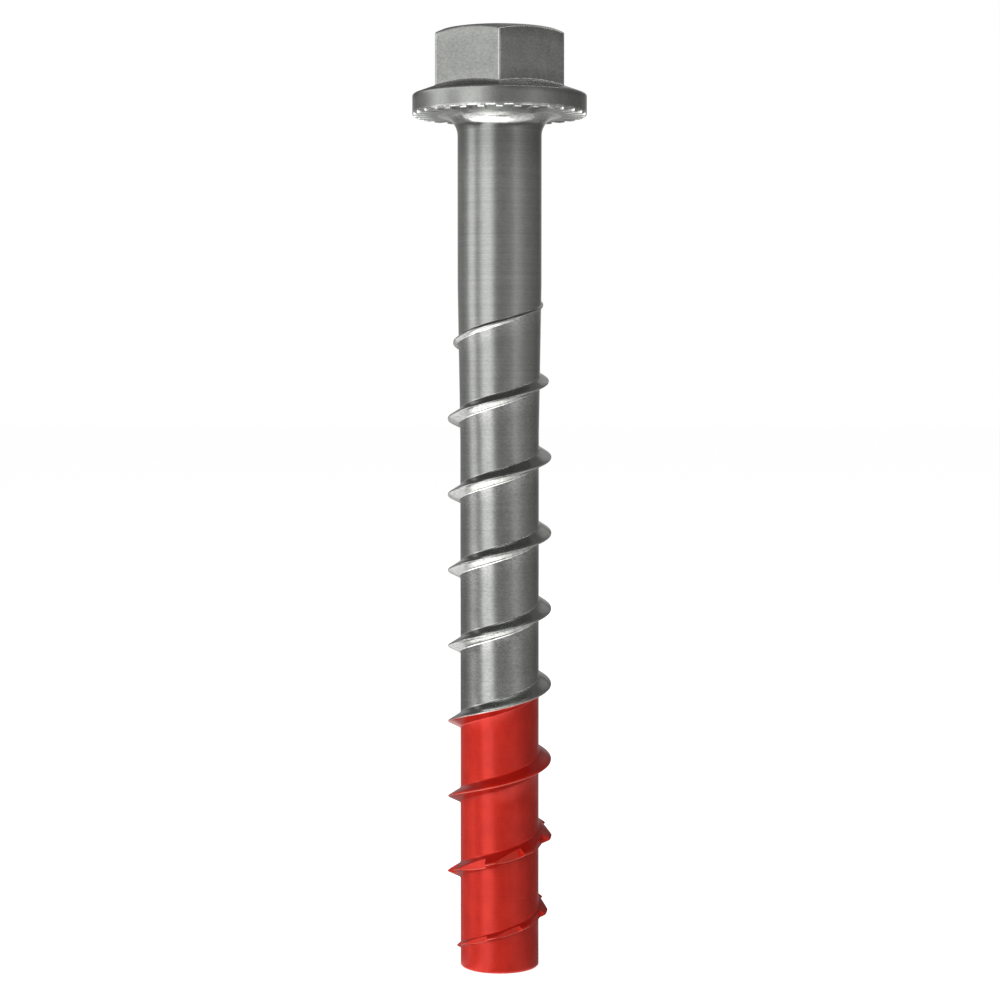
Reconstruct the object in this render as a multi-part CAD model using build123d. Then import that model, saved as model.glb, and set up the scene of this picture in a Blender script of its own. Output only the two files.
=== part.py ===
from build123d import *
import os
from math import atan2, ceil, cos, degrees, hypot, radians, sin, tan

# A concrete screw, forged and rolled from one piece of steel. From the top it has a
# hexagon, a conical flange with locking serrations under it, a plain shank, a slimmer
# core with a coarse right-hand thread, and saw teeth on the lowest turns of the thread.
# Lengths are in mm and angles in degrees. The axis is Z, the blunt tip's end face is at
# z = 0 and the head is at the top. Angles about the axis count from +X, and grow as the
# thread climbs. One corner of the hexagon points to -Y, which is the front.

# Rod
length_under_head = 85.0
core_diameter = 7.85
shank_diameter = 8.35
plain_shank_length = 16.8
shank_taper_length = 14.6
tip_edge_chamfer = 0.12
under_head_fillet = 1.9

# Flange
flange_diameter = 17.3
flange_rim_height = 2.1
flange_rim_rounding = 0.25
flange_top_slope = 20.0

# Hexagon
hex_across_flats = 12.6
head_height = 8.3
hex_top_circle_diameter = 11.8
hex_chamfer_angle = 24.0
hex_corner_rounding = 0.15

# Locking serrations, cut up into the flange and running out towards the shank
serration_count = 30
serration_floor_width = 0.94
serration_flank_width = 0.12
serration_depth = 0.19
serration_inner_diameter = 13.4

# Thread
thread_pitch = 7.58
thread_diameter = 10.35
thread_crest_width = 0.15
thread_upper_flank_angle = 30.0
thread_lower_flank_angle = 22.5
thread_height_at_angle_zero = -1.81

# The thread rises out of the tip, and runs out again into the tapered shank
tip_thread_diameter = 8.08
tip_rise_length = 8.6
run_out_end_below_head = 16.3
run_out_length = 13.4

# Saw teeth of the lowest turns: a relief that deepens as the thread climbs, then a
# steep face back up to the next tooth
tooth_diameter = 10.5
tooth_count = 16
tooth_pitch_angle = 45.0
first_tooth_angle = 163.5
tooth_relief_angle = 31.5
tooth_face_angle = 1.5
tooth_depth_share = 0.6

# How far a form reaches past the surface that it joins or cuts
overlap = 0.3

core_radius = core_diameter / 2
shank_radius = shank_diameter / 2
flange_radius = flange_diameter / 2
thread_radius = thread_diameter / 2
tooth_radius = tooth_diameter / 2
tip_thread_radius = tip_thread_diameter / 2
hex_top_radius = hex_top_circle_diameter / 2
root_radius = core_radius - overlap
bearing_z = length_under_head
rim_top_z = bearing_z + flange_rim_height
head_top_z = bearing_z + head_height
taper_top_z = bearing_z - plain_shank_length
taper_bottom_z = taper_top_z - shank_taper_length
run_out_end_z = bearing_z - run_out_end_below_head
run_out_start_z = run_out_end_z - run_out_length
run_out_slope = (thread_radius - shank_radius) / run_out_length
tip_rise_slope = (tooth_radius - tip_thread_radius) / tip_rise_length


def turned_rod_and_flange():
    """Core, taper, shank, fillet and flange, turned as one outline."""
    fillet_edge_radius = shank_radius + under_head_fillet
    cone_rise = flange_radius * tan(radians(flange_top_slope))
    rod_side = Polyline(
        (0, 0),
        (core_radius - tip_edge_chamfer, 0),
        (core_radius, tip_edge_chamfer),
        (core_radius, taper_bottom_z),
        (shank_radius, taper_top_z),
        (shank_radius, bearing_z - under_head_fillet),
    )
    neck = RadiusArc(rod_side @ 1, (fillet_edge_radius, bearing_z), under_head_fillet)
    flange_side = Polyline(
        neck @ 1,
        (flange_radius, bearing_z),
        (flange_radius, rim_top_z),
        (0, rim_top_z + cone_rise),
        (0, 0),
    )
    outline = make_face(rod_side + neck + flange_side)
    rim_corner = outline.vertices().sort_by_distance((flange_radius, rim_top_z, 0))[0]
    outline = fillet(rim_corner, flange_rim_rounding)
    return revolve(Plane.XZ * outline, axis=Axis.Z)


def hexagon():
    """Hexagonal prism, rising out of the flange, with a turned chamfer on top."""
    outline = Rot(0, 0, 30) * RegularPolygon(hex_across_flats / 2, 6, major_radius=False)
    outline = fillet(outline.vertices(), hex_corner_rounding)
    prism = Pos(0, 0, rim_top_z) * extrude(outline, head_top_z - rim_top_z)
    cap_radius = hex_across_flats
    cap_drop = (cap_radius - hex_top_radius) * tan(radians(hex_chamfer_angle))
    cap_outline = Polygon(
        (0, bearing_z),
        (cap_radius, bearing_z),
        (cap_radius, head_top_z - cap_drop),
        (hex_top_radius, head_top_z),
        (0, head_top_z),
        align=None,
    )
    return prism & revolve(Plane.XZ * cap_outline, axis=Axis.Z)


def serration_cutters():
    """One tapering groove for each serration, with a groove centred on +X."""
    inner_radius = serration_inner_diameter / 2
    run = flange_radius - inner_radius
    length = hypot(run, serration_depth)
    mouth_depth = serration_depth + overlap
    flank_spread = serration_flank_width * mouth_depth / serration_depth
    floor_half = serration_floor_width / 2
    floor_plane = Plane(
        origin=(flange_radius, 0, bearing_z + serration_depth),
        x_dir=(0, 1, 0),
        z_dir=(-run, 0, -serration_depth),
    )
    groove = Polygon(
        (-floor_half, 0),
        (floor_half, 0),
        (floor_half + flank_spread, mouth_depth),
        (-floor_half - flank_spread, mouth_depth),
        align=None,
    )
    cutter = extrude(floor_plane * groove, length, both=True)
    return PolarLocations(0, serration_count) * cutter


def crest_height(angle):
    """Height of the thread's crest line at an angle about the axis."""
    return thread_height_at_angle_zero + thread_pitch * angle / 360


def crest_angle(height):
    """Angle about the axis at which the crest line has a height."""
    return (height - thread_height_at_angle_zero) * 360 / thread_pitch


def toothed_crest_radius(angle):
    """Radius of the crest line in the toothed turns, before the teeth are cut."""
    below_full = max(0, tip_rise_length - crest_height(angle))
    return tooth_radius - below_full * tip_rise_slope


def ridge_section(radius):
    """Radial section of the thread, as radius and height above its crest line."""
    height = radius - root_radius
    half_crest = thread_crest_width / 2
    upper = half_crest + height * tan(radians(thread_upper_flank_angle))
    lower = half_crest + height * tan(radians(thread_lower_flank_angle))
    return [(root_radius, -lower), (radius, -half_crest), (radius, half_crest), (root_radius, upper)]


def ridge_rail(angles, start, end):
    """Helical edge of the thread, from a start to an end given as radius and height."""
    start_z = crest_height(angles[0]) + start[1]
    rise = crest_height(angles[1]) + end[1] - start_z
    cone = atan2(end[0] - start[0], rise)
    turns = (angles[1] - angles[0]) / 360
    rail = Helix(rise / turns / cos(cone), rise, start[0], cone_angle=degrees(cone))
    return (Pos(0, 0, start_z) * Rot(0, 0, angles[0]) * rail).edge()


def ridge_end(angle, section):
    """Flat radial face that closes the thread at an angle."""
    direction = Vector(cos(radians(angle)), sin(radians(angle)), 0)
    corners = [direction * radius + Vector(0, 0, crest_height(angle) + height) for radius, height in section]
    return make_face(Polyline(*corners, close=True)).face()


def ridge(start_angle, end_angle, start_radius, end_radius):
    """Solids of the thread between two angles, none longer than one turn."""
    pieces = []
    count = ceil((end_angle - start_angle) / 360)
    for index in range(count):
        shares = (index / count, (index + 1) / count)
        angles = [start_angle + (end_angle - start_angle) * share for share in shares]
        radii = [start_radius + (end_radius - start_radius) * share for share in shares]
        sections = [ridge_section(radius) for radius in radii]
        rails = [ridge_rail(angles, start, end) for start, end in zip(*sections)]
        sides = [Face.make_surface_from_curves(rails[side - 1], rails[side]) for side in range(4)]
        ends = [ridge_end(angle, section) for angle, section in zip(angles, sections)]
        pieces.append(Solid(Shell(sides + ends)))
    return pieces


def thread():
    """The whole thread: rising at the tip, toothed, plain, and running out."""
    start = crest_angle(0) - degrees(overlap / core_radius)
    full = crest_angle(tip_rise_length)
    last_tooth = first_tooth_angle + tooth_pitch_angle * (tooth_count - 1)
    teeth_end = max(full, last_tooth - tooth_relief_angle / 2)
    run_out = crest_angle(run_out_start_z)
    buried_radius = (core_radius + shank_radius) / 2
    run_out_finish = crest_angle(run_out_start_z + (thread_radius - buried_radius) / run_out_slope)
    pieces = ridge(start, full, toothed_crest_radius(start), tooth_radius)
    pieces += ridge(full, teeth_end, tooth_radius, tooth_radius)
    pieces += ridge(teeth_end, run_out, thread_radius, thread_radius)
    pieces += ridge(run_out, run_out_finish, thread_radius, buried_radius)
    return pieces


def tooth_cutters():
    """One cutter for the relief and the steep face in front of each tooth."""
    ridge_width = thread_radius - core_radius
    cutters = []
    for index in range(tooth_count):
        face_angle = first_tooth_angle + tooth_pitch_angle * index
        low_angle = face_angle - tooth_face_angle
        relief_angle = low_angle - tooth_relief_angle
        high_radius = toothed_crest_radius(relief_angle)
        ridge_height = toothed_crest_radius(face_angle) - core_radius
        low_radius = core_radius + ridge_height * (1 - tooth_depth_share)
        outer_radius = tooth_radius * 1.2
        corners = [
            (high_radius, relief_angle),
            (low_radius, low_angle),
            (outer_radius, face_angle),
            (outer_radius, relief_angle),
        ]
        points = [(radius * cos(radians(angle)), radius * sin(radians(angle))) for radius, angle in corners]
        bottom_z = crest_height(relief_angle) - ridge_width
        top_z = crest_height(face_angle) + ridge_width
        cutters.append(Pos(0, 0, bottom_z) * extrude(Polygon(*points, align=None), top_z - bottom_z))
    return cutters


def below_tip():
    """Block that trims the thread's lower end flush with the end face."""
    depth = thread_pitch
    return Pos(0, 0, -depth / 2) * Cylinder(flange_radius, depth)


body = turned_rod_and_flange() + hexagon()
body = body - serration_cutters()
body = body + thread()
body = body - tooth_cutters()
body = body - below_tip()
concrete_screw = body.solid()

os.makedirs("parts", exist_ok=True)
export_step(concrete_screw, "parts/concrete_screw.step")
print("solids", len(body.solids()), "valid", concrete_screw.is_valid)
print("volume", round(concrete_screw.volume, 2), "box", concrete_screw.bounding_box())
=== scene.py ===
import math
import bmesh
import bpy
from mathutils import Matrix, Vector


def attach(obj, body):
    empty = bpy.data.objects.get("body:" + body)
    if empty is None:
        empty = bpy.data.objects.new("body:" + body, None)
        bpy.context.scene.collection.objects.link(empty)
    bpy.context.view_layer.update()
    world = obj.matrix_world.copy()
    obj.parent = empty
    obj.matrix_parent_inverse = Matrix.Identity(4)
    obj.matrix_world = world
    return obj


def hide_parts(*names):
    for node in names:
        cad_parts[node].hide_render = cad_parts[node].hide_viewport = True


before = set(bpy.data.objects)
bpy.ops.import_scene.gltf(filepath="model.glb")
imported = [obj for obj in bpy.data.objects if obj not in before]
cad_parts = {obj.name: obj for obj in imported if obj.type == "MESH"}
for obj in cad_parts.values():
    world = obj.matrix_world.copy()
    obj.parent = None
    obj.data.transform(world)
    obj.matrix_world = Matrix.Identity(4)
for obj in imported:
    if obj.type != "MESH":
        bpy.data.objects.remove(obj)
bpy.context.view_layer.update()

# The mesh is worked out in millimetres and brought to metres at the end.
millimetre = 0.001

camera = {
    "place": (0.00004, -0.234, 0.0585),  # in metres
    "pitchDown": 2.831,
    "lens": 84.37,
    "sensor": 36,
    "clip": (0.01, 20),
}


def addToScene(name, data):
    holder = bpy.data.objects.new(name, data)
    bpy.context.scene.collection.objects.link(holder)
    return holder


def makeCamera():
    data = bpy.data.cameras.new("camera")
    data.lens = camera["lens"]
    data.sensor_width = camera["sensor"]
    data.clip_start, data.clip_end = camera["clip"]
    holder = addToScene("camera", data)
    holder.location = camera["place"]
    holder.rotation_euler = (math.radians(90 - camera["pitchDown"]), 0, 0)
    bpy.context.scene.camera = holder


makeCamera()
bpy.context.scene.view_settings.view_transform = "Standard"
print("camera placed")

# The screw is one skin of 240 columns, 1.5 degrees apart. Angles count from +X.
columnCount = 240
columnAngle = 360 / columnCount
thirdShares = (0.33, 0.67)  # places along a rounding or a straight
quarterShares = (0.25, 0.5, 0.75)
curveShares = (0, *thirdShares, 1)

# in mm and degrees
skinSettings = {
    "spinReach": 0.0002,  # points closer than this are welded after the spin
    "mergeReach": 0.002,  # and in the finished skin
    "cutReach": 1e-5,
    "levelReach": 1e-3,
    "poleReach": 1e-4,
    "angleReach": 1e-6,  # degrees
    "tipShares": (1, 0.8, 0.6, 0.4, 0.2, 0.08),  # rings of the end face
    "sharpAngle": 34,
}

# in mm, as the thread and the head
rod = {
    "coreRadius": 3.925,
    "shankRadius": 4.175,
    "taperBottom": 53.6,
    "taperTop": 68.2,
    "tipChamfer": 0.12,
}

thread = {
    "pitch": 7.58,
    "heightAtZero": -1.81,  # crest line's height at angle 0
    "crestRadius": 5.175,
    "halfCrest": 0.075,
    "upperSlope": math.tan(math.radians(30)),
    "lowerSlope": math.tan(math.radians(22.5)),
    "rootReach": 0.16,  # how far the root fillet reaches along each side
    "rootShare": 0.4,  # and the most of a low flank that it takes
    "flankShares": (0.35, 0.7),
    "crestReach": 0.09,
    "crestShare": 0.3,
    "crestInset": 0.7,  # share of the half crest that its rounding takes
    "crestBend": 0.6,
    "lowRidge": 0.8,  # a ridge lower than this has a smaller root fillet
    "tipRadius": 4.04,
    "riseEnd": 8.6,
    "runOutStart": 55.3,
    "runOutEnd": 68.7,
    "skinTop": 69.1,  # the head's rows go on from here
    "firstTurn": -300,
    "turns": 11,
}

# how bright each row of the thread's section is made, from the lower root to the upper one: above 0 wear and
# painted highlight, below 0 painted shade on the upper flank
threadWearAndPaintedLight = {
    "rows": [0.5, 0.9, 0.6, 0.6, 0.75, 0.8, 0.9, 1, 0.9, 0.2, -0.35, -0.4, -0.4, -0.4, 0, 0.7, 0],
    "facet": {7: 1.0, 8: 0.3, 9: 0.5},  # wear and painted highlight on the cut faces of the teeth
    "fadeBelow": 0.1,  # a ridge lower than this gets less wear and painted highlight
}

teeth = {
    "radius": 5.25,
    "first": 163.5,
    "spacing": 45,
    "count": 16,
    "relief": 31.5,
    "depth": 0.6,
    "edgeReach": 0.03,
    "leastCut": 0.01,
}


def rodRadius(height):
    rise = (height - rod["taperBottom"]) / (rod["taperTop"] - rod["taperBottom"])
    return rod["coreRadius"] + (rod["shankRadius"] - rod["coreRadius"]) * min(1, max(0, rise))


def crestHeight(turn):
    return thread["heightAtZero"] + thread["pitch"] * turn / 360


def fullCrest(turn):
    # crest radius before the teeth are cut
    height = crestHeight(turn)
    lastCut = teeth["first"] + teeth["spacing"] * (teeth["count"] - 1) - teeth["relief"] / 2
    if height < thread["riseEnd"]:
        slope = (teeth["radius"] - thread["tipRadius"]) / thread["riseEnd"]
        return teeth["radius"] - (thread["riseEnd"] - height) * slope
    if turn < lastCut:
        return teeth["radius"]
    fade = max(0, height - thread["runOutStart"]) / (thread["runOutEnd"] - thread["runOutStart"])
    return thread["crestRadius"] + (rod["shankRadius"] - thread["crestRadius"]) * fade


def cutCrest(turn):
    # a straight relief that deepens as the thread climbs, up to the next steep face
    whole = fullCrest(turn)
    reach = skinSettings["angleReach"]
    index = math.ceil((turn - teeth["first"]) / teeth["spacing"] - reach)
    face = teeth["first"] + teeth["spacing"] * index
    start = face - columnAngle - teeth["relief"]
    if not 0 <= index < teeth["count"] or turn > face - reach or turn <= start:
        return whole
    high = fullCrest(start)
    low = rod["coreRadius"] + (fullCrest(face) - rod["coreRadius"]) * (1 - teeth["depth"])
    lowX = low * math.cos(math.radians(teeth["relief"]))
    lowY = low * math.sin(math.radians(teeth["relief"]))
    angle = math.radians(turn - start)
    chord = high * lowY / (lowY * math.cos(angle) - (lowX - high) * math.sin(angle))
    return min(whole, chord)


def rounded(start, corner, end, share):
    # a point on the curve that rounds a corner off
    blend = [(1 - share) ** 2, 2 * share * (1 - share), share**2]
    return tuple(blend[0] * a + blend[1] * b + blend[2] * c for a, b, c in zip(start, corner, end))


def between(start, end, share):
    return tuple(a + (b - a) * share for a, b in zip(start, end))


def ridgeSide(turn, side, slope):
    # rows from the rod, over the root fillet and up the flank, to the crest's edge
    middle = crestHeight(turn)
    full = fullCrest(turn)
    cut = cutCrest(turn)
    root = rodRadius(middle)
    height = max(full - root, 0)
    foot = middle + side * (thread["halfCrest"] + height * slope)
    reach = thread["rootReach"] * min(1, 1 - thread["lowRidge"] + height)
    length = math.hypot(slope, 1)
    top = max(cut, root)
    edge = (middle + side * (thread["halfCrest"] + max(full - top, 0) * slope), top)
    rise = min(reach / length, (top - root) * thread["rootShare"])
    start = (foot + side * reach, root)
    end = (foot - side * slope * rise, root + rise)
    tip = thread["crestReach"] if full - cut < teeth["leastCut"] else teeth["edgeReach"]
    fall = min(tip / length, (top - root) * thread["crestShare"])
    below = (edge[0] + side * slope * fall, edge[1] - fall)
    rows = [rounded(start, (foot, root), end, share) for share in curveShares]
    rows += [between(end, below, share) for share in thread["flankShares"]]
    rows += [below]
    inner = (edge[0] - side * min(fall, thread["halfCrest"] * thread["crestInset"]), edge[1])
    return rows, rounded(below, edge, inner, thread["crestBend"]), edge


def threadSection(turn):
    lower, lowerTip, lowerEdge = ridgeSide(turn, -1, thread["lowerSlope"])
    upper, upperTip, upperEdge = ridgeSide(turn, 1, thread["upperSlope"])
    crest = between(lowerEdge, upperEdge, 0.5)
    return lower + [lowerTip, crest, upperTip] + upper[::-1]


def onRod(height):
    return (height, rodRadius(height))


def fullSection(turn):
    # the ridge and the plain rod above it, up to the next turn's first row
    ridge = threadSection(turn)
    ridge = [(height, max(radius, rodRadius(height))) for height, radius in ridge]
    following = threadSection(turn + 360)[0][0]
    last = ridge[-1][0]
    plain = [onRod(last + (following - last) * share) for share in quarterShares]
    return ridge + plain


def spinThread(skin):
    rowLayer = skin.verts.layers.int.new("row")
    wearAndLightLayer = skin.verts.layers.float["wearAndPaintedLight"]
    first = thread["firstTurn"]
    section = fullSection(first)
    outline = section + [fullSection(first + 360)[0]]
    angle = math.radians(first)
    points = []
    for row, (height, radius) in enumerate(outline):
        point = skin.verts.new((radius * math.cos(angle), radius * math.sin(angle), height))
        point[rowLayer] = row
        points.append(point)
    edges = [skin.edges.new(pair) for pair in zip(points, points[1:])]
    stepRise = thread["pitch"] / columnCount
    bmesh.ops.spin(
        skin,
        geom=points + edges,
        cent=(0, 0, 0),
        axis=(0, 0, 1),
        dvec=(0, 0, stepRise),
        angle=math.tau,
        steps=columnCount,
        use_merge=False,
    )
    oneTurn = skin.verts[:] + skin.edges[:] + skin.faces[:]
    for number in range(1, thread["turns"]):
        copied = bmesh.ops.duplicate(skin, geom=oneTurn)["geom"]
        copies = [item for item in copied if isinstance(item, bmesh.types.BMVert)]
        bmesh.ops.translate(skin, verts=copies, vec=(0, 0, thread["pitch"] * number))
    # each point goes to its own row and turn
    sections = {}
    for point in skin.verts:
        row = point[rowLayer]
        column = round(math.degrees(math.atan2(point.co.y, point.co.x)) / columnAngle)
        around = column * columnAngle
        climbed = (point.co.z - outline[row][0]) * 360 / thread["pitch"] + first
        turn = around + 360 * round((climbed - around) / 360)
        if row == len(section):
            row = 0
            turn += 360
        if turn not in sections:
            sections[turn] = fullSection(turn)
        height, radius = sections[turn][row]
        angle = math.radians(turn)
        point.co = (radius * math.cos(angle), radius * math.sin(angle), height)
        # the row's wear and painted light: brighter above 0, painted shade below 0
        if row < len(threadWearAndPaintedLight["rows"]):
            isCut = fullCrest(turn) - cutCrest(turn) > teeth["leastCut"]
            whole = threadWearAndPaintedLight["rows"][row]
            wearAndPaintedLight = threadWearAndPaintedLight["facet"].get(row, whole) if isCut else whole
            ridge = max(0, fullCrest(turn) - rodRadius(crestHeight(turn)))
            point[wearAndLightLayer] = wearAndPaintedLight * min(1, ridge / threadWearAndPaintedLight["fadeBelow"])
    bmesh.ops.remove_doubles(skin, verts=skin.verts, dist=skinSettings["spinReach"])


def isLevel(edge, height):
    reach = skinSettings["levelReach"]
    return edge.is_boundary and all(abs(point.co.z - height) < reach for point in edge.verts)


def trimThread(skin, height, above):
    # cuts the skin level and leaves one point for each column at the cut
    geometry = skin.verts[:] + skin.edges[:] + skin.faces[:]
    cut = bmesh.ops.bisect_plane(
        skin,
        geom=geometry,
        dist=skinSettings["cutReach"],
        plane_co=(0, 0, height),
        plane_no=(0, 0, 1),
        clear_outer=above,
        clear_inner=not above,
    )["geom_cut"]
    rim = [item for item in cut if isinstance(item, bmesh.types.BMVert)]
    columns = {}
    for point in rim:
        exact = math.degrees(math.atan2(point.co.y, point.co.x)) / columnAngle
        offset = abs(exact - round(exact))
        columns.setdefault(round(exact) % columnCount, []).append((offset, point))
    targets = {}
    for crowd in columns.values():
        crowd.sort(key=lambda entry: entry[0])
        for offset, point in crowd[1:]:
            targets[point] = crowd[0][1]
    bmesh.ops.weld_verts(skin, targetmap=targets)
    return [edge for edge in skin.edges if isLevel(edge, height)]


head = {
    "bearing": 85.0,
    "shankRows": (72, 76, 80),
    "filletStart": 83.1,
    "neckFillet": 1.9,
    "filletBends": range(9, 91, 9),
    "serrationInner": 6.7,
    "serrationCount": 30,
    "serrationDepth": 0.19,
    "grooveHalf": 0.47,
    "grooveFlank": 0.12,
    "grooveEnd": 0.2,  # the grooves run out in the rim over this height
    "flangeRadius": 8.65,
    "lowerEdge": 0.19,  # rounding of the flange's lower edge
    "lowerBends": (0, 30, 60, 90),
    "wallStart": 0.285,  # and the start of the upright rim over it
    "rimRows": (86.0, 86.5),
    "rimTop": 87.1,
    "rimRounding": 0.25,
    "rimBends": (23, 47, 70),
    "coneAngle": 20,
    "halfFlats": 6.3,
    "cornerRounding": 0.30,
    "cornerColumns": 2,  # from a flat's end to the middle of a corner
    "junctionReach": 0.14,
    "top": 93.3,
    "topRadius": 5.9,
    "topRows": (5, 4, 3, 2, 1.2, 0.6, 0.25),
    "chamferSlope": math.tan(math.radians(24)),
    "edgeReach": 0.11,
    # painted highlights with some wear on the head: how bright the flange's lower edge, the fillet and the
    # hexagon's edges are made
    "edgeWearAndHighlight": 1.0,
    "filletHighlight": 1.0,
    "cornerWearAndHighlight": 1.6,
    "filletHighlightStart": 0.45,  # share of the fillet's height where its painted highlight starts
    "filletHighlightRise": 6,
    "filletHighlightFall": 8,
}
coneSlope = math.tan(math.radians(head["coneAngle"]))
hexColumns = columnCount // 6  # to each side of the hexagon
flatColumns = hexColumns // 2 - head["cornerColumns"]


def ring(radius, height):
    return lambda column: (radius, column * columnAngle, height)


def serrated(radius, lift=0, level=False):
    # a level ring that steps up into the grooves: of the steps from a groove's middle,
    # 0 to 2 lie on its floor, 3 at its mouth and 4 halfway to the next one
    period = columnCount // head["serrationCount"]
    share = (radius - head["serrationInner"]) / (head["flangeRadius"] - head["serrationInner"])
    depth = head["serrationDepth"] * min(1, max(0, share))
    floorAngle = math.degrees(math.asin(head["grooveHalf"] / radius))
    mouth = head["grooveHalf"] + head["grooveFlank"] * min(1, max(0, share))
    mouthAngle = math.degrees(math.asin(mouth / radius))

    def place(column):
        step = (column + period // 2 - 1) % period - (period // 2 - 1)
        centre = (column - step) * columnAngle
        side = math.copysign(1, step)
        away = [0, floorAngle / 2, floorAngle, mouthAngle, 180 / head["serrationCount"]][abs(step)]
        rise = depth if abs(step) <= 2 and not level else 0
        return (radius, centre + side * away, head["bearing"] + rise + lift)

    return place


def flatStep(column):
    # columns from the middle of the nearest flat
    return (column + hexColumns // 2) % hexColumns - hexColumns // 2


def hexOutline(column):
    # radius and angle of the hexagon's outline, with five columns round each corner
    step = flatStep(column)
    middle = (column - step) * columnAngle
    side = math.copysign(1, step)
    halfSide = (head["halfFlats"] - head["cornerRounding"]) * math.tan(math.radians(30))
    flatAngle = math.degrees(math.atan2(halfSide, head["halfFlats"]))
    if abs(step) <= flatColumns:
        angle = flatAngle * step / flatColumns
        return head["halfFlats"] / math.cos(math.radians(angle)), middle + angle
    centre = (head["halfFlats"] - head["cornerRounding"]) / math.cos(math.radians(30))
    bend = math.radians(30 * ((abs(step) - flatColumns) / head["cornerColumns"] - 1))
    x = centre + head["cornerRounding"] * math.cos(bend)
    y = head["cornerRounding"] * math.sin(bend)
    return math.hypot(x, y), middle + side * (30 + math.degrees(math.atan2(y, x)))


def coneHeight(radius):
    return head["rimTop"] + (head["flangeRadius"] - radius) * coneSlope


def chamferHeight(radius):
    return head["top"] - (radius - head["topRadius"]) * head["chamferSlope"]


def hexJunction(share):
    # rounds the corner between the flange's cone and the hexagon
    def place(column):
        radius, angle = hexOutline(column)
        reach = head["junctionReach"]
        outer = radius + reach * math.cos(math.radians(head["coneAngle"]))
        corner = (radius, coneHeight(radius))
        point = rounded((outer, coneHeight(outer)), corner, (radius, corner[1] + reach), share)
        return (point[0], angle, point[1])

    return place


def coneRow(share):
    def place(column):
        radius, angle, height = hexJunction(0)(column)
        edge = head["rimRounding"] * (1 - math.sin(math.radians(head["coneAngle"])))
        startRadius = head["flangeRadius"] - edge
        start = (startRadius, column * columnAngle, coneHeight(startRadius))
        return between(start, (radius, angle, height), share)

    return place


def hexWall(share):
    def place(column):
        radius, angle = hexOutline(column)
        low = coneHeight(radius) + head["junctionReach"]
        high = chamferHeight(radius) - head["edgeReach"]
        return (radius, angle, low + (high - low) * share)

    return place


def hexShoulder(share):
    def place(column):
        radius, angle = hexOutline(column)
        inner = radius - head["edgeReach"]
        corner = (radius, chamferHeight(radius))
        start = (radius, corner[1] - head["edgeReach"])
        point = rounded(start, corner, (inner, chamferHeight(inner)), share)
        return (point[0], angle, point[1])

    return place


def chamferRow(share):
    def place(column):
        radius, angle, height = hexShoulder(1)(column)
        outer = head["topRadius"] + head["edgeReach"]
        return between((radius, angle, height), (outer, angle, chamferHeight(outer)), share)

    return place


def topEdge(share):
    def place(column):
        angle = hexOutline(column)[1]
        outer = head["topRadius"] + head["edgeReach"]
        start = (outer, chamferHeight(outer))
        end = (head["topRadius"] - head["edgeReach"], head["top"])
        point = rounded(start, (head["topRadius"], head["top"]), end, share)
        return (point[0], angle, point[1])

    return place


def topRow(radius):
    return lambda column: (radius, hexOutline(column)[1], head["top"])


def headRows():
    bearing = head["bearing"]
    fillet = head["neckFillet"]
    neck = rod["shankRadius"] + fillet
    rows = [ring(rod["shankRadius"], height) for height in (*head["shankRows"], head["filletStart"])]
    for bend in head["filletBends"]:
        angle = math.radians(bend)
        rows.append(ring(neck - fillet * math.cos(angle), bearing - fillet + fillet * math.sin(angle)))
    inner = head["serrationInner"]
    outer = head["flangeRadius"]
    edge = head["lowerEdge"]
    rows += [serrated(inner)]
    rows += [serrated(inner + (outer - inner) * share) for share in quarterShares]
    for bend in head["lowerBends"]:
        angle = math.radians(bend)
        rows.append(serrated(outer - edge + edge * math.sin(angle), edge - edge * math.cos(angle)))
    wall = head["wallStart"]
    rows += [serrated(outer, wall), serrated(outer, wall + head["grooveEnd"], level=True)]
    rounding = head["rimRounding"]
    arcStart = head["rimTop"] - rounding * math.tan(math.radians((90 - head["coneAngle"]) / 2))
    rows += [ring(outer, height) for height in (*head["rimRows"], arcStart)]
    for bend in head["rimBends"]:
        angle = math.radians(bend)
        radius = outer - rounding * (1 - math.cos(angle))
        rows.append(ring(radius, arcStart + rounding * math.sin(angle)))
    rows += [coneRow(share) for share in thirdShares]
    rows += [hexJunction(share) for share in (0, *quarterShares, 1)]
    rows += [hexWall(share) for share in (*quarterShares, 1)]
    rows += [hexShoulder(share) for share in curveShares[1:]]
    rows += [chamferRow(share) for share in (0.5, 1)]
    rows += [topEdge(share) for share in curveShares[1:]]
    rows += [topRow(radius) for radius in head["topRows"]]
    return rows


def growRows(skin, edges, columnLayer, rows):
    # pulls the open edge on through the rows, one extrusion for each
    wearAndLightLayer = skin.verts.layers.float["wearAndPaintedLight"]
    for place in rows:
        grown = bmesh.ops.extrude_edge_only(skin, edges=edges)["geom"]
        for point in grown:
            if isinstance(point, bmesh.types.BMVert):
                radius, angle, height = place(point[columnLayer])
                turned = math.radians(angle)
                point.co = (radius * math.cos(turned), radius * math.sin(turned), height)
                point[wearAndLightLayer] = 0
        edges = [item for item in grown if isinstance(item, bmesh.types.BMEdge) and item.is_boundary]
    return edges


def closePole(skin, edges):
    centre = sum((edge.verts[0].co for edge in edges), Vector()) / len(edges)
    grown = bmesh.ops.extrude_edge_only(skin, edges=edges)["geom"]
    points = [item for item in grown if isinstance(item, bmesh.types.BMVert)]
    for point in points:
        point.co = centre
    bmesh.ops.remove_doubles(skin, verts=points, dist=skinSettings["poleReach"])


def numberColumns(edges, columnLayer):
    for edge in edges:
        for point in edge.verts:
            angle = math.degrees(math.atan2(point.co.y, point.co.x))
            point[columnLayer] = round(angle / columnAngle) % columnCount


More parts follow.
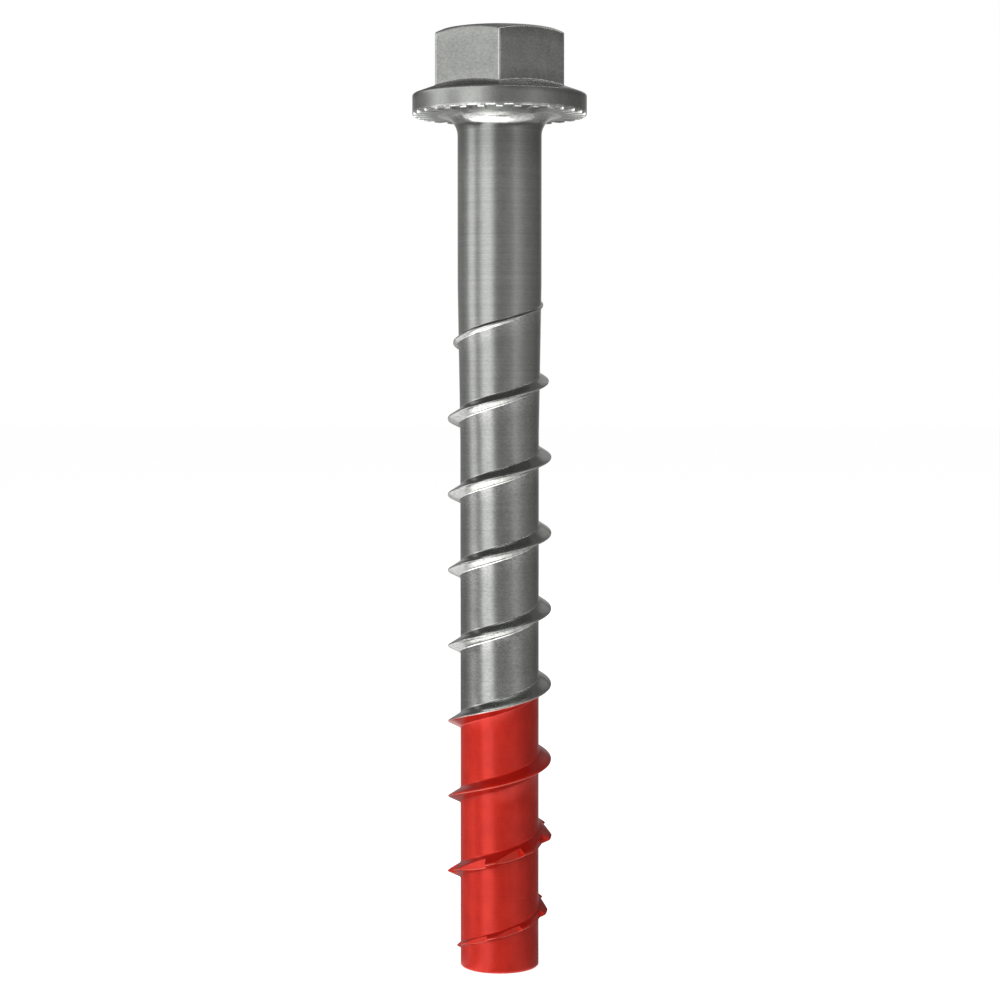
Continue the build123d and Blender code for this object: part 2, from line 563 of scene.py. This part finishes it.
def paintHeadWearAndHighlights(skin, columnLayer):
    # painted highlights with some wear: the flange's lower edge, a band of the fillet under it and the
    # hexagon's edges are made bright
    wearAndLightLayer = skin.verts.layers.float["wearAndPaintedLight"]
    # shares of a rounding, to catch its points or leave its ends out
    past, within, close = 1.1, 0.9, 0.8
    edgeTop = head["bearing"] + head["serrationDepth"] + head["lowerEdge"] * past
    edgeInner = head["flangeRadius"] - head["lowerEdge"] * past
    neck = rod["shankRadius"] + head["neckFillet"]
    for point in skin.verts:
        radius = math.hypot(point.co.x, point.co.y)
        if head["filletStart"] < point.co.z < edgeTop:
            if radius > edgeInner:
                point[wearAndLightLayer] = head["edgeWearAndHighlight"]
            elif radius < neck + skinSettings["mergeReach"]:
                climb = (point.co.z - head["filletStart"]) / head["neckFillet"]
                rise = min(1, max(0, climb - head["filletHighlightStart"]) * head["filletHighlightRise"])
                point[wearAndLightLayer] = head["filletHighlight"] * rise * min(1, (1 - climb) * head["filletHighlightFall"])
        outline = hexOutline(point[columnLayer])[0]
        if point.co.z > head["rimTop"] and radius > outline - head["edgeReach"] * within:
            foot = point.co.z - coneHeight(outline)
            fall = chamferHeight(outline) - point.co.z
            if fall < head["edgeReach"] * within or abs(foot) < head["junctionReach"] * close:
                point[wearAndLightLayer] = head["cornerWearAndHighlight"]
            elif abs(flatStep(point[columnLayer])) > flatColumns and foot > 0:
                point[wearAndLightLayer] = head["cornerWearAndHighlight"]


def makeScrew():
    skin = bmesh.new()
    skin.verts.layers.float.new("wearAndPaintedLight")
    spinThread(skin)
    columnLayer = skin.verts.layers.int.new("column")
    print("thread spun,", len(skin.faces), "faces")

    lower = trimThread(skin, rod["tipChamfer"], above=False)
    upper = trimThread(skin, thread["skinTop"], above=True)
    print("open edges", len(lower), len(upper))
    for rim in (lower, upper):
        numberColumns(rim, columnLayer)

    rows = headRows()
    closePole(skin, growRows(skin, upper, columnLayer, rows))

    # tip: a small chamfer, then the flat end face
    chamfer = rod["tipChamfer"]
    tipRadii = {}
    for edge in lower:
        for point in edge.verts:
            tipRadii[point[columnLayer]] = math.hypot(point.co.x, point.co.y)

    def tipRow(share):
        return lambda column: ((tipRadii[column] - chamfer) * share, column * columnAngle, 0)

    tipRows = [tipRow(share) for share in skinSettings["tipShares"]]
    closePole(skin, growRows(skin, lower, columnLayer, tipRows))

    paintHeadWearAndHighlights(skin, columnLayer)
    for name in ("row", "column"):
        skin.verts.layers.int.remove(skin.verts.layers.int[name])
    bmesh.ops.remove_doubles(skin, verts=skin.verts, dist=skinSettings["mergeReach"])
    bmesh.ops.connect_verts_concave(skin, faces=skin.faces)
    bmesh.ops.scale(skin, verts=skin.verts, vec=(millimetre,) * 3)
    bmesh.ops.recalc_face_normals(skin, faces=skin.faces)
    for face in skin.faces:
        face.smooth = True
    for edge in skin.edges:
        edge.smooth = edge.calc_face_angle(0) < math.radians(skinSettings["sharpAngle"])
    openEdges = sum(1 for edge in skin.edges if not edge.is_manifold)
    volume = skin.calc_volume() / millimetre**3
    print("screw skin:", len(skin.faces), "faces,", openEdges, "open edges, volume in mm3", round(volume, 2))
    mesh = bpy.data.meshes.new("screwSkin")
    skin.to_mesh(mesh)
    skin.free()
    return addToScene("screwSkin", mesh)


# Nodes are made with these few helpers.
def addNode(tree, kind, **settings):
    node = tree.nodes.new(kind)
    for name, value in settings.items():
        setattr(node, name, value)
    return node


def feed(tree, socket, value):
    if isinstance(value, bpy.types.NodeSocket):
        tree.links.new(value, socket)
    else:
        socket.default_value = value


def work(tree, operation, *values, clamp=False):
    node = addNode(tree, "ShaderNodeMath", operation=operation, use_clamp=clamp)
    for socket, value in zip(node.inputs, values):
        feed(tree, socket, value)
    return node.outputs[0]


def times(tree, first, second):
    return work(tree, "MULTIPLY", first, second)


def plus(tree, first, second):
    return work(tree, "ADD", first, second)


def minus(tree, first, second):
    return work(tree, "SUBTRACT", first, second)


def centred(tree, noise, share):
    # noise to both sides of 0
    return times(tree, minus(tree, noise, 0.5), share)


def spread(tree, value, low, high, toLow=0.0, toHigh=1.0):
    # goes softly from one end to the other while the value goes from low to high
    node = addNode(tree, "ShaderNodeMapRange", interpolation_type="SMOOTHSTEP")
    feed(tree, node.inputs["Value"], value)
    ends = {"From Min": low, "From Max": high, "To Min": toLow, "To Max": toHigh}
    for name, number in ends.items():
        feed(tree, node.inputs[name], number)
    return node.outputs["Result"]


def mixColours(tree, share, first, second):
    # a Mix node repeats its socket names for each kind of value, so numbers pick them
    node = addNode(tree, "ShaderNodeMix", data_type="RGBA")
    feed(tree, node.inputs[0], share)
    feed(tree, node.inputs[6], first)
    feed(tree, node.inputs[7], second)
    return node.outputs[2]


def mixNumbers(tree, share, first, second):
    node = addNode(tree, "ShaderNodeMix", data_type="FLOAT")
    feed(tree, node.inputs[0], share)
    feed(tree, node.inputs[2], first)
    feed(tree, node.inputs[3], second)
    return node.outputs[0]


def grain(tree, place, stretch, detail, rough):
    # noise with so many cells to a metre along x, y and z
    mapping = addNode(tree, "ShaderNodeMapping")
    feed(tree, mapping.inputs["Vector"], place)
    mapping.inputs["Scale"].default_value = stretch
    noise = addNode(tree, "ShaderNodeTexNoise")
    feed(tree, noise.inputs["Vector"], mapping.outputs["Vector"])
    noise.inputs["Scale"].default_value = 1
    noise.inputs["Detail"].default_value = detail
    noise.inputs["Roughness"].default_value = rough
    return noise.outputs["Fac"]


def newMaterial(name):
    material = bpy.data.materials.new(name)
    material.use_nodes = True
    material.node_tree.nodes.clear()
    return material, material.node_tree


finish = {
    "steel": (0.565, 0.575, 0.55, 1),
    "steelDull": (0.405, 0.413, 0.393, 1),
    # bright colour of wear and of painted highlights
    "steelWearAndHighlight": (0.88, 0.88, 0.86, 1),
    # painted shade
    "steelInPaintedShade": (0.12, 0.125, 0.12, 1),
    "paint": (0.74, 0.028, 0.012, 1),
    "paintDeep": (0.60, 0.018, 0.008, 1),
    # wear and painted highlights on the paint
    "paintWearAndHighlight": (0.92, 0.42, 0.32, 1),
    # painted shade on the paint
    "paintInPaintedShade": (0.26, 0.006, 0.004, 1),
    "steelRoughness": 0.17,
    "rimRoughness": 0.24,
    "underRoughness": 0.40,  # the flange's underside
    "headRoughness": 0.27,
    "paintRoughness": 0.20,
    "paintMetallic": 0.32,  # the red coat lets some of the metal's gloss through
    "specular": 0.55,
}

# the paint's edge, in mm
paintEdge = {
    "height": 26.59,  # at the front, on a crest of the thread
    "fade": 0.03,
    "ragged": (0.05, 0.5),  # in front and behind
    "turn": (0.0, 2.0),  # y at which the front ends and the back begins
}

# noises of the surface: cells to a metre along x, y and z, detail and roughness
grains = {
    "lines": ((60, 60, 11000), 2, 0.6),
    "broadLines": ((40, 40, 2600), 2, 0.5),
    "speckle": ((3000, 3000, 5600), 2, 0.6),
    "cloud": ((900, 900, 500), 3, 0.6),
    "ragged": ((900, 900, 900), 3, 0.5),
}

# zones of the finish: height in mm above the bearing face, from outside to inside at each end
# upperShank, neck, underside and cone also mark where painted shade goes
zones = {
    "rod": [(-0.4, -1.0)],
    "threaded": [(-23, -31)],
    "upperShank": [(-6, -2), (-1.2, -1.8)],
    "neck": [(-1.7, -1.3), (-0.7, -1.0)],
    "forged": [(-2.4, -1.4), (0.1, -0.1)],
    "underside": [(-0.4, -0.1), (0.3, 0.2)],
    "rim": [(-0.4, -0.1)],
    "cone": [(2.05, 2.12)],
    "hexagon": [(2.0, 2.3)],
}
undersideRadii = [(6.0, 6.3), (8.5, 8.4)]
undersideFront = (-5.2, -6.6)  # y at which its front with more painted shade begins
coneSkin = (0.16, 0.06)  # height above the cone's own line

# painted shade: how far the zones are darkened
paintedShades = {
    "upperShank": 0.34,
    "underside": 0.20,
    "undersideFront": 0.50,
    "neck": 0.3,
    "cone": 0.45,
    "paintFlank": 1.7,
}

texture = {
    "cloud": 0.5,  # shares of the noises in the steel's tone
    "turning": 0.4,
    "mottle": 0.5,
    "mottleThreaded": 0.9,
    "mottleHead": 1.3,
    "toneEnds": (0.1, 0.9),
    "wearAndHighlightSpeckle": (0.3, 0.58, 0.3, 1.0),
    "coatLines": 0.6,  # and in the paint's
    "coatEnds": (0.2, 0.8),
    "coatWearAndHighlight": (0.88, 1.0, 0.0, 0.55),
    "steelUneven": 0.12,  # roughness
    "paintUneven": 0.06,
    "lineRelief": 0.45,
    "broadRelief": 0.4,
    "speckleRelief": 0.4,
    "forgedRelief": 5.0,
    "bumpHeight": 0.00001,
    "bump": 0.6,
    "bumpThreaded": 1.0,
    "bumpPaint": 0.35,
}


def zoneShare(tree, value, ends):
    # 1 inside a zone and 0 outside
    share = 1.0
    for low, high in ends:
        share = times(tree, share, spread(tree, value, low, high))
    return share


def surveySurface(tree):
    # everything that the finish depends on, with places in mm
    place = addNode(tree, "ShaderNodeTexCoord").outputs["Object"]
    apart = addNode(tree, "ShaderNodeSeparateXYZ")
    feed(tree, apart.inputs[0], place)
    here = {}
    for name, side in zip("xyz", apart.outputs):
        here[name] = times(tree, side, 1 / millimetre)
    across = plus(tree, times(tree, here["x"], here["x"]), times(tree, here["y"], here["y"]))
    here["radius"] = work(tree, "MAXIMUM", work(tree, "SQRT", across), 0.001)  # never 0
    for name, settings in grains.items():
        here[name] = grain(tree, place, *settings)
    rise = minus(tree, here["z"], head["bearing"])
    for name, ends in zones.items():
        here[name] = zoneShare(tree, rise, ends)
    belt = zoneShare(tree, here["radius"], undersideRadii)
    here["underside"] = times(tree, here["underside"], belt)
    coneLine = work(tree, "MULTIPLY_ADD", here["radius"], -coneSlope, coneHeight(0))
    onCone = spread(tree, minus(tree, here["z"], coneLine), *coneSkin)
    here["cone"] = times(tree, here["cone"], onCone)
    here["wearAndPaintedLight"] = addNode(tree, "ShaderNodeAttribute", attribute_name="wearAndPaintedLight").outputs["Fac"]
    here["dark"] = work(tree, "MULTIPLY", here["wearAndPaintedLight"], -1.0, clamp=True)
    here["painted"] = paintShare(tree, here)
    return here


def paintShare(tree, here):
    # paint ends at a crest line in front and in a plain slant behind
    sine = work(tree, "DIVIDE", here["x"], times(tree, here["radius"], 1.0001))  # under 1
    swing = work(tree, "ARCSINE", sine)
    line = work(tree, "MULTIPLY_ADD", swing, thread["pitch"] / math.tau, paintEdge["height"])
    behind = spread(tree, here["y"], *paintEdge["turn"])
    ragged = centred(tree, here["ragged"], mixNumbers(tree, behind, *paintEdge["ragged"]))
    gap = minus(tree, plus(tree, line, ragged), here["z"])
    return spread(tree, gap, -paintEdge["fade"], paintEdge["fade"])


def steelColour(tree, here):
    # fine turning lines on the rod and a mottled finish on the head, then painted shade, and the bright
    # colour of wear and painted highlights
    mottle = mixNumbers(tree, here["threaded"], texture["mottle"], texture["mottleThreaded"])
    mottle = mixNumbers(tree, here["hexagon"], mottle, texture["mottleHead"])
    turning = plus(
        tree,
        centred(tree, here["broadLines"], texture["turning"]),
        centred(tree, here["lines"], texture["turning"]),
    )
    tone = plus(tree, centred(tree, here["cloud"], texture["cloud"]), 0.5)
    tone = plus(tree, tone, centred(tree, here["speckle"], mottle))
    tone = plus(tree, tone, times(tree, turning, here["rod"]))
    bright = spread(tree, tone, *texture["toneEnds"])
    steel = mixColours(tree, bright, finish["steelDull"], finish["steel"])

    # painted shade on the underside (more in front), under the flange, at the neck, on the cone and on the
    # upper flanks
    front = spread(tree, here["y"], *undersideFront)
    undersidePaintedShade = mixNumbers(tree, front, paintedShades["underside"], paintedShades["undersideFront"])
    paintedShade = plus(tree, here["dark"], times(tree, here["underside"], undersidePaintedShade))
    for name in ("upperShank", "neck", "cone"):
        paintedShade = plus(tree, paintedShade, times(tree, here[name], paintedShades[name]))
    steel = mixColours(tree, paintedShade, steel, finish["steelInPaintedShade"])

    # bright colour of wear and of painted highlights on flanks, crests and head edges
    wearAndHighlight = times(tree, here["wearAndPaintedLight"], spread(tree, here["speckle"], *texture["wearAndHighlightSpeckle"]))
    return mixColours(tree, wearAndHighlight, steel, finish["steelWearAndHighlight"])


def paintColour(tree, here):
    coat = plus(tree, centred(tree, here["lines"], texture["coatLines"]), here["cloud"])
    bright = spread(tree, coat, *texture["coatEnds"])
    red = mixColours(tree, bright, finish["paintDeep"], finish["paint"])
    # painted shade on the paint's upper flanks
    red = mixColours(tree, times(tree, here["dark"], paintedShades["paintFlank"]), red, finish["paintInPaintedShade"])
    # wear and painted highlights on the paint's crests and edges
    return mixColours(tree, spread(tree, here["wearAndPaintedLight"], *texture["coatWearAndHighlight"]), red, finish["paintWearAndHighlight"])


def surfaceRoughness(tree, here):
    smooth = mixNumbers(tree, here["rim"], finish["steelRoughness"], finish["rimRoughness"])
    smooth = mixNumbers(tree, here["hexagon"], smooth, finish["headRoughness"])
    smooth = mixNumbers(tree, here["underside"], smooth, finish["underRoughness"])
    steel = plus(tree, smooth, centred(tree, here["cloud"], texture["steelUneven"]))
    speckled = centred(tree, here["speckle"], texture["paintUneven"])
    paint = plus(tree, speckled, finish["paintRoughness"])
    return mixNumbers(tree, here["painted"], steel, paint)


def surfaceBump(tree, here):
    relief = times(tree, here["speckle"], texture["speckleRelief"])
    layers = (
        ("lines", "rod", "lineRelief"),
        ("broadLines", "rod", "broadRelief"),
        ("cloud", "forged", "forgedRelief"),
    )
    for noise, area, depth in layers:
        layer = times(tree, here[noise], times(tree, here[area], texture[depth]))
        relief = plus(tree, relief, layer)
    steel = mixNumbers(tree, here["threaded"], texture["bump"], texture["bumpThreaded"])
    bump = addNode(tree, "ShaderNodeBump")
    bump.inputs["Distance"].default_value = texture["bumpHeight"]
    feed(tree, bump.inputs["Strength"], mixNumbers(tree, here["painted"], steel, texture["bumpPaint"]))
    feed(tree, bump.inputs["Height"], relief)
    return bump.outputs["Normal"]


def makeSteelAndPaint():
    material, tree = newMaterial("platedSteelPaintedTip")
    here = surveySurface(tree)
    colour = mixColours(tree, here["painted"], steelColour(tree, here), paintColour(tree, here))
    metallic = mixNumbers(tree, here["painted"], 1.0, finish["paintMetallic"])
    shader = addNode(tree, "ShaderNodeBsdfPrincipled")
    feed(tree, shader.inputs["Base Color"], colour)
    feed(tree, shader.inputs["Metallic"], metallic)
    feed(tree, shader.inputs["Roughness"], surfaceRoughness(tree, here))
    feed(tree, shader.inputs["Normal"], surfaceBump(tree, here))
    shader.inputs["Specular IOR Level"].default_value = finish["specular"]
    output = addNode(tree, "ShaderNodeOutputMaterial")
    feed(tree, output.inputs["Surface"], shader.outputs["BSDF"])
    return material


screw = makeScrew()
screw.data.materials.append(makeSteelAndPaint())
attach(screw, "root")
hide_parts("concrete_screw")

# lengths in metres
studio = {
    "ambient": 0.24,
    "wallRadius": 0.17,
    "wallSplit": 0.124,  # the upper wall starts here
    "wallTop": 0.23,
    "wallSides": 96,
    "discSides": 48,
    "ceilingGlow": 0.20,
    "kerbRadius": 0.016,
    "kerbTop": 0.0145,
    "cardLift": 0.0002,
    "footEdge": (0.015, 0.0165),  # the floor inside it mirrors as the kerb does
    "nearEdge": (0.080, 0.094),  # from the floor round the tip to the floor further out
    "floorSide": 6.0,
    "floorColour": (0.8, 0.8, 0.8, 1),
    "floorGlow": 0.8,
    "fullRamp": 2.5,  # the glow that 1 stands for in a ramp
}

# What the metal mirrors: azimuth in degrees from the camera's direction, plus to its right,
# and the wall's glow there near the floor, at the shank and at the head.
wallGlow = [
    (-180, 0.26, 0.52, 0.26),
    (-168, 0.24, 0.46, 0.25),
    (-158, 0.22, 0.30, 0.24),
    (-148, 0.20, 0.28, 0.12),
    (-118, 0.22, 0.29, 0.28),
    (-101, 0.34, 0.44, 0.70),
    (-93, 0.48, 0.84, 0.96),
    (-86, 0.58, 1.08, 0.96),
    (-76, 0.52, 1.04, 0.85),
    (-70, 0.42, 0.70, 0.70),
    (-64, 0.42, 0.48, 0.60),
    (-57, 0.56, 0.60, 0.70),
    (-50, 1.00, 0.92, 0.92),
    (-43, 1.20, 1.12, 1.02),
    (-27, 1.16, 1.10, 0.98),
    (-20, 0.84, 0.84, 0.55),
    (-13, 0.42, 0.46, 0.31),
    (-5, 0.28, 0.30, 0.25),
    (8, 0.27, 0.28, 0.30),
    (26, 0.34, 0.32, 0.27),
    (35, 0.41, 0.39, 0.30),
    (45, 0.50, 0.51, 0.40),
    (57, 0.44, 0.43, 0.23),
    (68, 0.34, 0.34, 0.16),
    (80, 0.26, 0.27, 0.13),
    (98, 0.20, 0.22, 0.095),
    (130, 0.14, 0.15, 0.10),
    (148, 0.15, 0.18, 0.13),
    (158, 0.20, 0.26, 0.22),
    (168, 0.24, 0.48, 0.45),
    (180, 0.28, 0.58, 0.50),
]
wallBands = ((0.0, 0.075), (0.102, 0.112))

# the upper wall's glow above the head, over that and under the ceiling
upperGlow = [
    (-180, 0.14, 0.14, 0.14),
    (-130, 0.18, 0.18, 0.18),
    (-112, 1.00, 0.18, 0.18),
    (-20, 1.00, 0.18, 0.18),
    (-8, 0.25, 0.18, 0.30),
    (6, 0.16, 0.18, 2.00),
    (95, 0.16, 0.18, 2.00),
    (108, 0.16, 0.18, 0.20),
    (140, 0.18, 0.20, 0.20),
    (156, 0.50, 0.55, 0.50),
    (180, 0.50, 0.55, 0.50),
]
upperBands = ((0.156, 0.164), (0.212, 0.217))

# the floor as the metal mirrors it: azimuth, glow round the tip and glow further out
floorGlows = [
    (-180, 0.70, 0.60),
    (-166, 0.80, 0.50),
    (-150, 0.85, 0.20),
    (-125, 0.90, 0.20),
    (-108, 1.00, 0.20),
    (-96, 2.00, 0.20),
    (-80, 2.45, 0.20),
    (-56, 2.45, 0.20),
    (-46, 2.45, 1.15),
    (-26, 2.45, 1.15),
    (-14, 2.45, 0.30),
    (0, 2.45, 0.20),
    (30, 1.90, 0.20),
    (46, 1.40, 0.20),
    (58, 0.90, 0.20),
    (100, 0.60, 0.20),
    (150, 0.40, 0.20),
    (166, 0.50, 0.30),
    (180, 0.60, 0.50),
]

# soft lamps for the paint: azimuth, height, distance, radius and radiance
lamps = {
    "softKey": (-38, 0.16, 0.40, 0.20, 3.85),
    "leftFill": (-100, 0.12, 0.40, 0.15, 1.0),
    "backFill": (150, 0.16, 0.40, 0.20, 1.4),
}
lampTarget = Vector((0, 0, 0.04))

# a glowing panel on the floor, in front and to the left
underLight = {
    "place": (-0.034, -0.042, 0.0001),
    "width": 0.075,
    "depth": 0.1,
    "radiance": 0.15,
}


def sheetObject(name, sheet, material):
    mesh = bpy.data.meshes.new(name)
    sheet.to_mesh(mesh)
    sheet.free()
    mesh.materials.append(material)
    return addToScene(name, mesh)


def onlyReflected(card):
    card.visible_camera = False
    card.visible_diffuse = False
    card.visible_transmission = False
    card.visible_shadow = False


def onlyLighting(lamp):
    # lights the paint softly and is left out of reflections
    lamp.visible_camera = False
    lamp.visible_glossy = False


def makeLamp(name, azimuth, height, distance, radius, radiance):
    data = bpy.data.lights.new(name, "AREA")
    data.shape = "DISK"
    data.size = 2 * radius
    data.energy = radiance * math.pi * math.pi * radius**2
    lamp = addToScene(name, data)
    around = math.radians(azimuth)
    lamp.location = (distance * math.sin(around), -distance * math.cos(around), height)
    lamp.rotation_euler = (lamp.location - lampTarget).to_track_quat("Z", "Y").to_euler()
    onlyLighting(lamp)


def makeUnderLight():
    data = bpy.data.lights.new("underLight", "AREA")
    data.shape = "RECTANGLE"
    data.size = underLight["width"]
    data.size_y = underLight["depth"]
    data.energy = underLight["radiance"] * math.pi * data.size * data.size_y
    lamp = addToScene("underLight", data)
    lamp.location = underLight["place"]
    lamp.rotation_euler = (math.pi, 0, 0)
    onlyLighting(lamp)


def ramp(tree, share, stops):
    # a ramp holds values up to 1, so it is filled and read on a scale of its own
    full = studio["fullRamp"]
    node = addNode(tree, "ShaderNodeValToRGB")
    feed(tree, node.inputs["Fac"], share)
    while len(node.color_ramp.elements) < len(stops):
        node.color_ramp.elements.new(1.0)
    for element, (position, glow) in zip(node.color_ramp.elements, stops):
        element.position = position
        element.color = (glow / full, glow / full, glow / full, 1)
    return times(tree, node.outputs["Color"], full)


def azimuthShare(tree, x, y):
    # 0 to 1 round the screw, with 0.5 towards the camera
    around = work(tree, "ARCTAN2", x, times(tree, y, -1.0))
    return work(tree, "MULTIPLY_ADD", around, 1 / math.tau, 0.5)


def shifted(azimuth, radius):
    # where a ray that the core mirrors towards an azimuth meets a wall of a radius
    offset = rod["coreRadius"] * millimetre * math.sin(math.radians(azimuth / 2))
    return azimuth - math.degrees(math.asin(offset / radius))


def glowOutput(tree, strength):
    light = addNode(tree, "ShaderNodeEmission")
    feed(tree, light.inputs["Strength"], strength)
    output = addNode(tree, "ShaderNodeOutputMaterial")
    feed(tree, output.inputs["Surface"], light.outputs[0])


def glowMaterial(name, glow):
    material, tree = newMaterial(name)
    glowOutput(tree, glow)
    return material


def wallMaterial(name, radius, rows, bands):
    material, tree = newMaterial(name)
    apart = addNode(tree, "ShaderNodeSeparateXYZ")
    feed(tree, apart.inputs[0], addNode(tree, "ShaderNodeTexCoord").outputs["Object"])
    x, y, z = apart.outputs
    share = azimuthShare(tree, x, y)
    glows = []
    for level in range(1, len(rows[0])):
        stops = [(shifted(row[0], radius) / 360 + 0.5, row[level]) for row in rows]
        glows.append(ramp(tree, share, stops))
    glow = glows[0]
    for band, following in zip(bands, glows[1:]):
        glow = mixNumbers(tree, spread(tree, z, *band), glow, following)
    glowOutput(tree, glow)
    return material


def makeWall(name, radius, low, top, rows, bands):
    sheet = bmesh.new()
    ends = [sheet.verts.new((radius, 0, height)) for height in (low, top)]
    edge = sheet.edges.new(ends)
    bmesh.ops.spin(
        sheet,
        geom=ends + [edge],
        cent=(0, 0, 0),
        axis=(0, 0, 1),
        angle=math.tau,
        steps=studio["wallSides"],
        use_merge=True,
    )
    onlyReflected(sheetObject(name, sheet, wallMaterial(name, radius, rows, bands)))


def makeWalls():
    radius = studio["wallRadius"]
    makeWall("wall", radius, 0, studio["wallSplit"], wallGlow, wallBands)
    makeWall("upperWall", radius, studio["wallSplit"], studio["wallTop"], upperGlow, upperBands)
    makeWall("kerb", studio["kerbRadius"], 0, studio["kerbTop"], wallGlow, wallBands)


def makeDisc(name, height, material):
    sheet = bmesh.new()
    sides = studio["discSides"]
    bmesh.ops.create_circle(sheet, cap_ends=True, segments=sides, radius=studio["wallRadius"])
    bmesh.ops.translate(sheet, verts=sheet.verts, vec=(0, 0, height))
    onlyReflected(sheetObject(name, sheet, material))


def floorCardMaterial():
    # what reflections see of the floor
    material, tree = newMaterial("floorCard")
    place = addNode(tree, "ShaderNodeTexCoord").outputs["Object"]
    apart = addNode(tree, "ShaderNodeSeparateXYZ")
    feed(tree, apart.inputs[0], place)
    share = azimuthShare(tree, apart.outputs[0], apart.outputs[1])
    near = ramp(tree, share, [(azimuth / 360 + 0.5, glow) for azimuth, glow, _ in floorGlows])
    far = ramp(tree, share, [(azimuth / 360 + 0.5, glow) for azimuth, _, glow in floorGlows])
    kerb = studio["kerbRadius"]
    foot = ramp(tree, share, [(shifted(row[0], kerb) / 360 + 0.5, row[1]) for row in wallGlow])
    away = addNode(tree, "ShaderNodeVectorMath", operation="LENGTH")
    feed(tree, away.inputs[0], place)
    distance = away.outputs["Value"]
    glow = mixNumbers(tree, spread(tree, distance, *studio["nearEdge"]), near, far)
    glow = mixNumbers(tree, spread(tree, distance, *studio["footEdge"]), foot, glow)
    glowOutput(tree, glow)
    return material


def seenDirectly(tree):
    # 1 for the camera, for reflections and through glass
    path = addNode(tree, "ShaderNodeLightPath")
    seen = plus(tree, path.outputs["Is Camera Ray"], path.outputs["Is Glossy Ray"])
    return work(tree, "ADD", seen, path.outputs["Is Transmission Ray"], clamp=True)


def floorMaterial():
    material, tree = newMaterial("floor")
    matt = addNode(tree, "ShaderNodeBsdfDiffuse")
    matt.inputs["Color"].default_value = studio["floorColour"]
    light = addNode(tree, "ShaderNodeEmission")
    feed(tree, light.inputs["Strength"], times(tree, seenDirectly(tree), studio["floorGlow"]))
    both = addNode(tree, "ShaderNodeAddShader")
    feed(tree, both.inputs[0], matt.outputs[0])
    feed(tree, both.inputs[1], light.outputs[0])
    output = addNode(tree, "ShaderNodeOutputMaterial")
    feed(tree, output.inputs["Surface"], both.outputs[0])
    return material


def makeFloor():
    sheet = bmesh.new()
    bmesh.ops.create_grid(sheet, x_segments=1, y_segments=1, size=studio["floorSide"] / 2)
    sheetObject("floor", sheet, floorMaterial())


def makeWorld():
    world = bpy.data.worlds.new("studio")
    world.use_nodes = True
    tree = world.node_tree
    tree.nodes.clear()
    sky = addNode(tree, "ShaderNodeBackground")
    sky.inputs["Color"].default_value = (1, 1, 1, 1)
    feed(tree, sky.inputs["Strength"], mixNumbers(tree, seenDirectly(tree), studio["ambient"], 1.0))
    output = addNode(tree, "ShaderNodeOutputWorld")
    feed(tree, output.inputs["Surface"], sky.outputs[0])
    bpy.context.scene.world = world


for name, settings in lamps.items():
    makeLamp(name, *settings)
makeUnderLight()
makeWalls()
makeDisc("ceiling", studio["wallTop"], glowMaterial("ceiling", studio["ceilingGlow"]))
makeDisc("floorCard", studio["cardLift"], floorCardMaterial())
makeFloor()
makeWorld()
print("studio lit")
